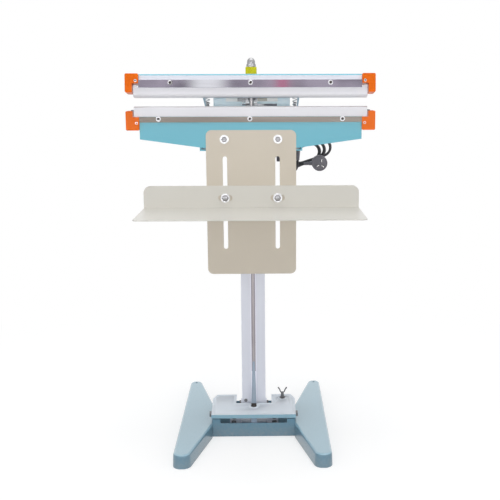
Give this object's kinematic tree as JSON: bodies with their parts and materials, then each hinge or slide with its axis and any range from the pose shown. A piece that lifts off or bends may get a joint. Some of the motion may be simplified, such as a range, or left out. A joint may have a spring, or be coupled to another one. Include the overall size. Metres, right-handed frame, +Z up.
{
  "type": "pedal impulse heat sealer",
  "caption": "Foot-operated impulse heat sealer on a column stand, with a pedal-pulled upper jaw, a height-adjustable bag shelf and a mains cord.",
  "frame": {"origin": "on the floor, centred between the feet, in the plane of the column's front face", "axes": "+Z up, +X to the operator's right as seen from the front, +Y to the back"},
  "size_m": [0.56, 0.532, 0.903],
  "materials": {
    "pale_blue_paint": "satin",
    "white_paint": "satin",
    "teal_paint": "satin",
    "beige_paint": "satin",
    "beige_bolt": "satin",
    "zinc": "satin",
    "brass": "satin",
    "orange_plastic": "gloss",
    "aluminium": "satin",
    "chrome": "polished",
    "ptfe_cloth": "satin",
    "white_cloth": "satin",
    "insulation": "matte",
    "resistance_strip": "satin",
    "laminated_steel": "matte",
    "black_plastic": "matte",
    "red_lens": "gloss",
    "spring_steel": "satin",
    "silicone_rubber": "matte",
    "yellow_plastic": "gloss",
    "cord_jacket": "satin",
    "white_plastic": "matte"
  },
  "bodies": {
    "stand": {"base_box": "pale_blue_paint", "left_foot": "pale_blue_paint", "right_foot": "pale_blue_paint", "foot_bolts": "zinc", "column": "white_paint", "column_brackets": "white_paint", "column_bolts": "zinc", "column_screw": "zinc", "column_top_plate": "white_paint", "top_plate_bolts": "zinc", "head_frame": "teal_paint", "hinge_bolts": "zinc", "rod_bush": "brass", "lower_beam": "teal_paint", "lower_end_caps": "orange_plastic", "lower_clamp_strip": "aluminium", "lower_strip_screws": "zinc", "lower_cloth": "ptfe_cloth", "insulating_strip": "insulation", "heating_element": "resistance_strip", "backing_plate": "beige_paint", "plate_bolts": "beige_bolt", "rear_housing": "pale_blue_paint", "housing_wing_nuts": "zinc", "transformer": "laminated_steel", "fuse_holder": "black_plastic", "pilot_lamp": "red_lens", "micro_switch": "black_plastic", "switch_bracket": "zinc", "return_spring_left": "spring_steel", "return_spring_right": "spring_steel", "pedal_pivot_bolts": "zinc", "strain_relief": "black_plastic", "cord_lead": "cord_jacket", "cord_hank": "cord_jacket", "cord_tie": "white_plastic", "plug": "black_plastic"},
    "arms": {"arm_left": "teal_paint", "arm_right": "teal_paint", "arm_cross_bar": "zinc", "upper_beam": "teal_paint", "upper_end_caps": "orange_plastic", "upper_clamp_strip": "chrome", "upper_strip_screws": "zinc", "silicone_pad": "silicone_rubber", "upper_cloth": "white_cloth"},
    "rod": {"pull_rod": "spring_steel", "rod_crank": "beige_bolt", "crank_pin": "zinc", "spring_rocker": "zinc", "pressure_spring": "spring_steel", "cap_nut": "chrome"},
    "pressure_knob": {"pressure_knob": "yellow_plastic"},
    "pedal": {"pedal": "white_paint"},
    "stop_bolt": {"stop_bolt": "zinc"},
    "shelf_clamp": {"shelf_bolts": "beige_bolt"},
    "shelf": {"shelf": "white_paint"},
    "timer_knob": {"timer_knob": "black_plastic"},
    "power_rocker": {"power_rocker": "black_plastic"}
  },
  "joints": [
    {"name": "arms_hinge", "type": "hinge", "parent": "stand", "child": "arms", "pos_m": [0, 0.068, 0.775], "axis": [1, 0, 0], "range_deg": [0, 7.85], "stiffness_Nm_per_rad": 15, "springref_deg": -22.92, "deforming": ["return_spring_left", "return_spring_right"]},
    {"name": "rod_slide", "type": "slide", "parent": "stand", "child": "rod", "axis": [0, 0, -1], "range_m": [0, 0.0085]},
    {"name": "pedal_hinge", "type": "hinge", "parent": "stand", "child": "pedal", "pos_m": [0, -0.04, 0.05], "axis": [-1, 0, 0], "range_deg": [0, 15]},
    {"name": "stop_bolt_turn", "type": "hinge", "parent": "pedal", "child": "stop_bolt", "pos_m": [0.0713, 0.02066, 0.06963], "axis": [0, -0.1392, 0.9903], "continuous": true},
    {"name": "pressure_knob_turn", "type": "hinge", "parent": "rod", "child": "pressure_knob", "pos_m": [0, 0.012, 0.872], "axis": [0, 0, 1], "continuous": true},
    {"name": "shelf_height", "type": "slide", "parent": "stand", "child": "shelf_clamp", "axis": [0, 0, 1], "range_m": [-0.113, 0.089]},
    {"name": "shelf_sideways", "type": "slide", "parent": "shelf_clamp", "child": "shelf", "axis": [1, 0, 0], "range_m": [-0.0095, 0.0095]},
    {"name": "timer_turn", "type": "hinge", "parent": "stand", "child": "timer_knob", "pos_m": [-0.045, 0.14, 0.856], "axis": [0, 0, -1], "range_deg": [0, 270]},
    {"name": "power_rock", "type": "hinge", "parent": "stand", "child": "power_rocker", "pos_m": [0, 0.14, 0.848], "axis": [-1, 0, 0], "range_deg": [0, 16]}
  ],
  "couplings": [
    {"joint": "rod_slide", "follows": "arms_hinge", "m_per_rad": 0.062021},
    {"joint": "pedal_hinge", "follows": "arms_hinge", "ratio": 1.9102}
  ]
}
